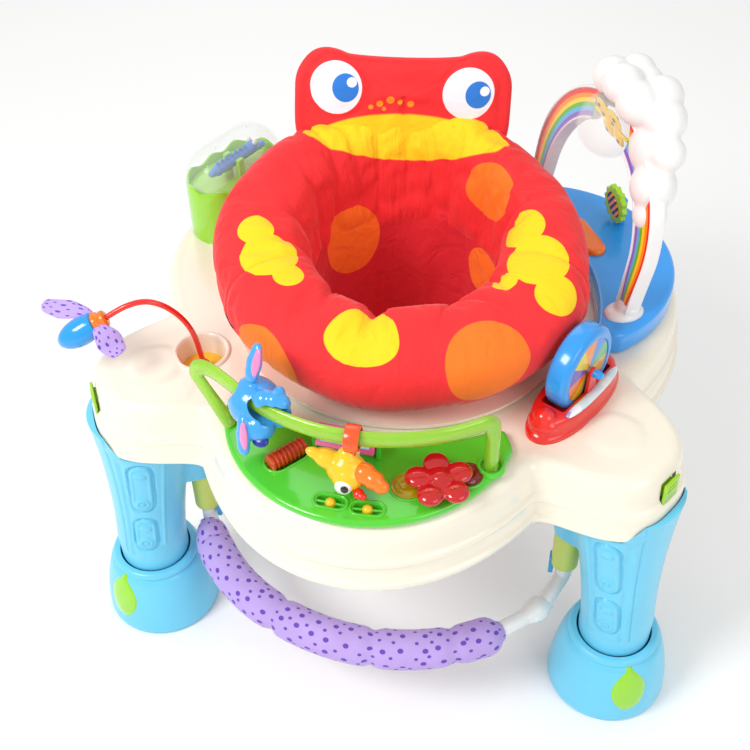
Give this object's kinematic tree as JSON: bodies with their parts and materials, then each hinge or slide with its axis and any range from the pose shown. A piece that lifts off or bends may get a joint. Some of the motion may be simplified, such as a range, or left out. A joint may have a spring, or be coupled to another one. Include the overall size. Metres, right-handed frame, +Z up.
{
  "type": "baby activity jumper",
  "caption": "Three-legged activity jumper: a padded seat that turns in a round toy tray, with sprung feet, height buttons, a padded bumper bar and toys on the deck.",
  "frame": {"origin": "centre of the bounding box in plan, on the floor", "axes": "+Z up, the front of the tray faces -Y, the rear leg is at +Y"},
  "size_m": [0.7359, 0.7544, 0.68],
  "materials": {
    "cream_plastic": "satin moulded",
    "sky_plastic": "satin moulded",
    "lime_plastic": "glossy moulded",
    "green_plastic": "glossy moulded",
    "pale_lime_plastic": "satin moulded",
    "red_plastic": "glossy moulded",
    "blue_plastic": "glossy moulded",
    "yellow_plastic": "glossy moulded",
    "orange_plastic": "glossy moulded",
    "pink_plastic": "glossy moulded",
    "white_plastic": "glossy moulded",
    "grey_plastic": "matt moulded",
    "red_fabric": "padded velour",
    "lilac_fabric": "padded knit",
    "steel": "bright drawn",
    "clear_plastic": "clear moulded",
    "amber_clear": "clear coloured",
    "ruby_clear": "clear coloured"
  },
  "bodies": {
    "tray": {"tray_top_shell": "cream_plastic", "tray_bottom_pan": "cream_plastic", "tray_screws": "steel", "battery_box": "grey_plastic", "toy_panel": "green_plastic", "toy_bar": "lime_plastic", "amber_lens": "amber_clear", "ruby_lens": "ruby_clear", "spinner_base": "red_plastic", "wheel_axle": "steel", "station_base": "blue_plastic", "rainbow_arch": "white_plastic", "cloud": "white_plastic", "croc_base": "lime_plastic", "croc_dome": "clear_plastic", "cup_insert": "yellow_plastic"},
    "seat": {"seat_ring": "white_plastic", "seat_rim_pad": "red_fabric", "seat_bucket": "red_fabric", "seat_headrest": "red_fabric"},
    "leg_left": {"leg_column_left": "sky_plastic", "bumper_socket_left": "pale_lime_plastic", "bumper_tube": "white_plastic", "bumper_sleeve": "lilac_fabric"},
    "leg_right": {"leg_column_right": "sky_plastic", "bumper_socket_right": "pale_lime_plastic"},
    "leg_rear": {"leg_column_rear": "sky_plastic"},
    "foot_left": {"foot_left": "sky_plastic", "foot_drop_left": "lime_plastic", "bounce_spring_left": "steel"},
    "height_button_left": {"height_button_left": "lime_plastic"},
    "foot_right": {"foot_right": "sky_plastic", "foot_drop_right": "lime_plastic", "bounce_spring_right": "steel"},
    "height_button_right": {"height_button_right": "lime_plastic"},
    "foot_rear": {"foot_rear": "sky_plastic", "foot_drop_rear": "lime_plastic", "bounce_spring_rear": "steel"},
    "height_button_rear": {"height_button_rear": "lime_plastic"},
    "bumper_button_left": {"bumper_button_left": "blue_plastic"},
    "bumper_button_right": {"bumper_button_right": "blue_plastic"},
    "music_button": {"music_button": "orange_plastic"},
    "spinner_wheel": {"spinner_wheel": "blue_plastic"},
    "dial": {"dial": "lime_plastic"},
    "croc": {"croc": "blue_plastic"},
    "elephant": {"elephant": "blue_plastic"},
    "flower_spinner": {"flower_spinner": "red_plastic"},
    "ridged_roller": {"ridged_roller": "orange_plastic"},
    "picture_drum": {"picture_drum": "pink_plastic"},
    "bead_left": {"bead_left": "yellow_plastic"},
    "bead_right": {"bead_right": "yellow_plastic"},
    "bubble": {"bubble": "clear_plastic", "butterfly": "yellow_plastic"},
    "stalk": {"stalk": "red_plastic", "bug_collar": "orange_plastic", "bug_body": "blue_plastic", "bug_wings": "lilac_fabric"},
    "toucan": {"toucan_body": "yellow_plastic", "toucan_beak": "orange_plastic", "toucan_strap": "orange_plastic"}
  },
  "joints": [
    {"name": "seat_swivel", "type": "hinge", "parent": "tray", "child": "seat", "pos_m": [0.00325, -0.034, 0.41], "axis": [0, 0, 1], "continuous": true},
    {"name": "leg_left_height", "type": "slide", "parent": "tray", "child": "leg_left", "axis": [0, 0, -1], "range_m": [0, 0.048]},
    {"name": "leg_right_height", "type": "slide", "parent": "tray", "child": "leg_right", "axis": [0, 0, -1], "range_m": [0, 0.048]},
    {"name": "leg_rear_height", "type": "slide", "parent": "tray", "child": "leg_rear", "axis": [0, 0, -1], "range_m": [0, 0.048]},
    {"name": "foot_left_bounce", "type": "slide", "parent": "leg_left", "child": "foot_left", "axis": [0, 0, 1], "range_m": [0, 0.025], "stiffness_N_per_m": 1500, "springref_m": -0.03, "deforming": ["bounce_spring_left"]},
    {"name": "foot_right_bounce", "type": "slide", "parent": "leg_right", "child": "foot_right", "axis": [0, 0, 1], "range_m": [0, 0.025], "stiffness_N_per_m": 1500, "springref_m": -0.03, "deforming": ["bounce_spring_right"]},
    {"name": "foot_rear_bounce", "type": "slide", "parent": "leg_rear", "child": "foot_rear", "axis": [0, 0, 1], "range_m": [0, 0.025], "stiffness_N_per_m": 1500, "springref_m": -0.03, "deforming": ["bounce_spring_rear"]},
    {"name": "height_button_left_push", "type": "slide", "parent": "tray", "child": "height_button_left", "axis": [0.866, 0.5, 0], "range_m": [0, 0.004], "stiffness_N_per_m": 400, "springref_m": -0.004},
    {"name": "height_button_right_push", "type": "slide", "parent": "tray", "child": "height_button_right", "axis": [-0.866, 0.5, 0], "range_m": [0, 0.004], "stiffness_N_per_m": 400, "springref_m": -0.004},
    {"name": "height_button_rear_push", "type": "slide", "parent": "tray", "child": "height_button_rear", "axis": [0, -1, 0], "range_m": [0, 0.004], "stiffness_N_per_m": 400, "springref_m": -0.004},
    {"name": "bumper_button_left_push", "type": "slide", "parent": "leg_left", "child": "bumper_button_left", "axis": [-1, 0, 0], "range_m": [0, 0.002], "stiffness_N_per_m": 400, "springref_m": -0.003},
    {"name": "bumper_button_right_push", "type": "slide", "parent": "leg_right", "child": "bumper_button_right", "axis": [1, 0, 0], "range_m": [0, 0.002], "stiffness_N_per_m": 400, "springref_m": -0.003},
    {"name": "music_button_push", "type": "slide", "parent": "tray", "child": "music_button", "axis": [0, 0, -1], "range_m": [0, 0.004], "stiffness_N_per_m": 300, "springref_m": -0.004},
    {"name": "wheel_spin", "type": "hinge", "parent": "tray", "child": "spinner_wheel", "pos_m": [0.21078, -0.13984, 0.456], "axis": [-0.891, 0.454, 0], "continuous": true},
    {"name": "bubble_spin", "type": "hinge", "parent": "tray", "child": "bubble", "pos_m": [0.20678, 0.09318, 0.604], "axis": [-0.5299, 0.848, 0], "continuous": true},
    {"name": "dial_spin", "type": "hinge", "parent": "tray", "child": "dial", "pos_m": [0.2247, 0.14565, 0.462], "axis": [-0.848, -0.5299, 0], "continuous": true},
    {"name": "croc_rock", "type": "hinge", "parent": "tray", "child": "croc", "pos_m": [-0.24306, 0.10536, 0.488], "axis": [0.9026, -0.4305, 0], "range_deg": [-8, 8]},
    {"name": "stalk_swivel", "type": "hinge", "parent": "tray", "child": "stalk", "pos_m": [-0.20753, -0.15084, 0.384], "axis": [0, 0, 1], "range_deg": [-35, 35]},
    {"name": "elephant_spin", "type": "hinge", "parent": "tray", "child": "elephant", "pos_m": [-0.10075, -0.28613, 0.482], "axis": [0.866, -0.5, 0], "continuous": true},
    {"name": "toucan_swing", "type": "hinge", "parent": "tray", "child": "toucan", "pos_m": [0.01051, -0.31387, 0.482], "axis": [0.9994, 0.0349, 0], "range_deg": [-25, 10]},
    {"name": "flower_spin", "type": "hinge", "parent": "tray", "child": "flower_spinner", "pos_m": [0.09445, -0.3019, 0.422], "axis": [0, 0, 1], "continuous": true},
    {"name": "roller_spin", "type": "hinge", "parent": "tray", "child": "ridged_roller", "pos_m": [-0.06611, -0.29287, 0.418], "axis": [0.6428, 0.766, 0], "continuous": true},
    {"name": "drum_spin", "type": "hinge", "parent": "tray", "child": "picture_drum", "pos_m": [-0.00746, -0.26976, 0.429], "axis": [0.999, -0.0454, 0], "continuous": true},
    {"name": "bead_left_slide", "type": "slide", "parent": "tray", "child": "bead_left", "axis": [0.9994, -0.0358, 0], "range_m": [-0.008, 0.008]},
    {"name": "bead_right_slide", "type": "slide", "parent": "tray", "child": "bead_right", "axis": [0.9962, 0.0872, 0], "range_m": [-0.008, 0.008]}
  ],
  "couplings": [
    {"joint": "leg_right_height", "follows": "leg_left_height", "ratio": 1},
    {"joint": "leg_rear_height", "follows": "leg_left_height", "ratio": 1}
  ]
}
